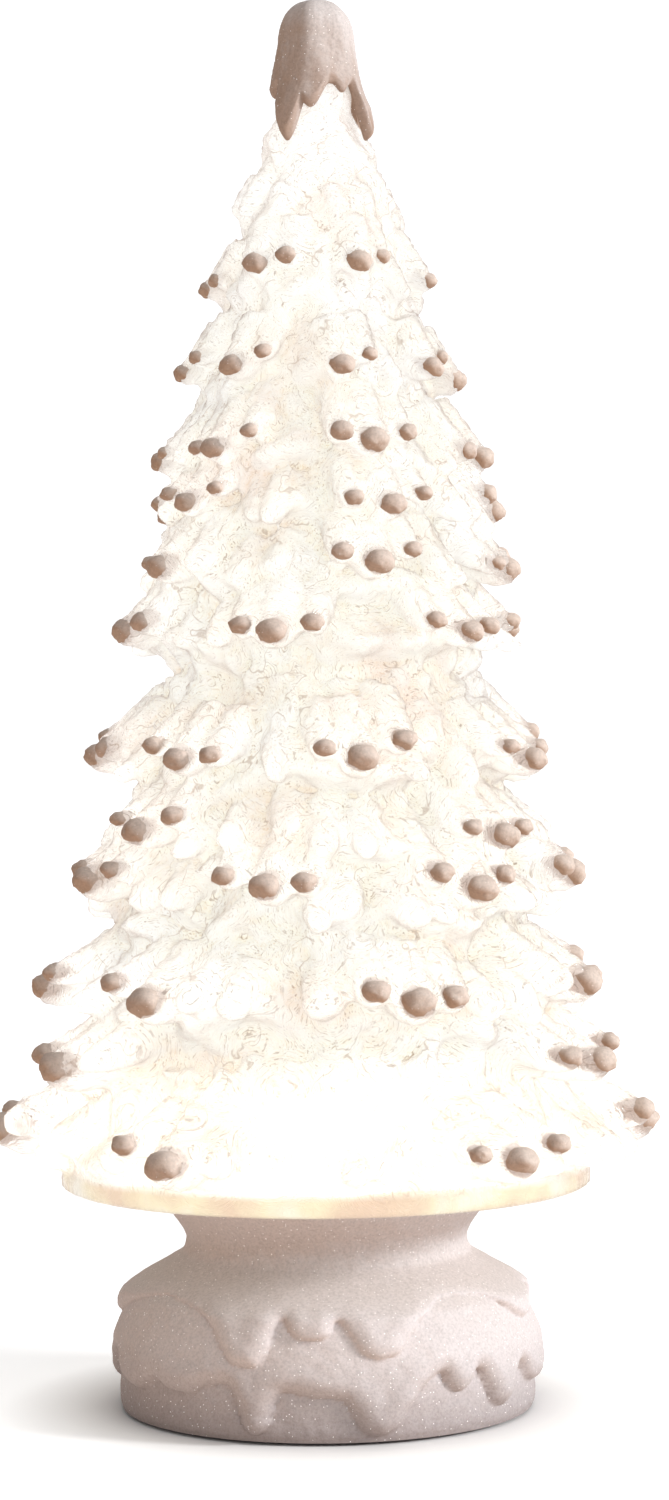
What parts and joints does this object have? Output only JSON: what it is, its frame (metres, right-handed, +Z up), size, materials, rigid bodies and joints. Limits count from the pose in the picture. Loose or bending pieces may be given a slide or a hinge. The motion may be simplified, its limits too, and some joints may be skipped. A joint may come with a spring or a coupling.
{
  "type": "lit tabletop tree",
  "caption": "Clear hollow plastic tree with snow-tipped boughs, lit from below, on a snow-covered bell-shaped battery base with a slide switch and a hinged battery door.",
  "frame": {"origin": "on the trunk's axis, at the height of the surface that the feet stand on", "axes": "+Z up the trunk, -Y towards the front, +X to the right seen from the front"},
  "size_m": [0.1586, 0.1485, 0.343],
  "materials": {
    "clear_tree": "clear moulded acrylic, lit from inside",
    "snow": "sandy snow texture with fine glitter",
    "frosted": "frosted, lit",
    "lamp": "warm white LED lens, lit",
    "circuit_board": "green solder mask",
    "black_plastic": "satin",
    "white_plastic": "satin moulded plastic",
    "plated_steel": "nickel plated",
    "cell_jacket": null,
    "red_insulation": "satin",
    "black_insulation": "satin",
    "foot_foam": "matt foam pad"
  },
  "bodies": {
    "tree": {"tree_shell": "clear_tree", "snow_cap": "snow", "shell_bottom_plate": "clear_tree", "light_diffuser": "frosted", "led_board": "circuit_board", "led_1": "lamp", "led_2": "lamp", "led_3": "lamp", "led_4": "lamp", "timer_chip": "black_plastic", "board_screw_1": "plated_steel", "board_screw_2": "plated_steel", "base_shell": "snow", "shell_screw_1": "plated_steel", "shell_screw_2": "plated_steel", "shell_screw_3": "plated_steel", "bottom_cover": "white_plastic", "cover_screw_1": "plated_steel", "cover_screw_2": "plated_steel", "cover_screw_3": "plated_steel", "battery_1": "cell_jacket", "battery_2": "cell_jacket", "battery_3": "cell_jacket", "contact_spring_1": "plated_steel", "contact_spring_2": "plated_steel", "contact_spring_3": "plated_steel", "link_plate_left": "plated_steel", "link_plate_right": "plated_steel", "positive_terminal": "plated_steel", "negative_terminal": "plated_steel", "switch_body": "black_plastic", "wire_battery_to_switch": "red_insulation", "wire_switch_to_board": "red_insulation", "wire_battery_to_board": "black_insulation", "foot_1": "foot_foam", "foot_2": "foot_foam", "foot_3": "foot_foam", "foot_4": "foot_foam"},
    "door": {"battery_door": "white_plastic"},
    "switch": {"switch_slider": "white_plastic"}
  },
  "joints": [
    {"name": "door_hinge", "type": "hinge", "parent": "tree", "child": "door", "pos_m": [-0.0287, 0, 0.0025], "axis": [0, 1, 0], "range_deg": [0, 75]},
    {"name": "switch_slide", "type": "slide", "parent": "tree", "child": "switch", "axis": [1, 0, 0], "range_m": [0, 0.004]}
  ]
}
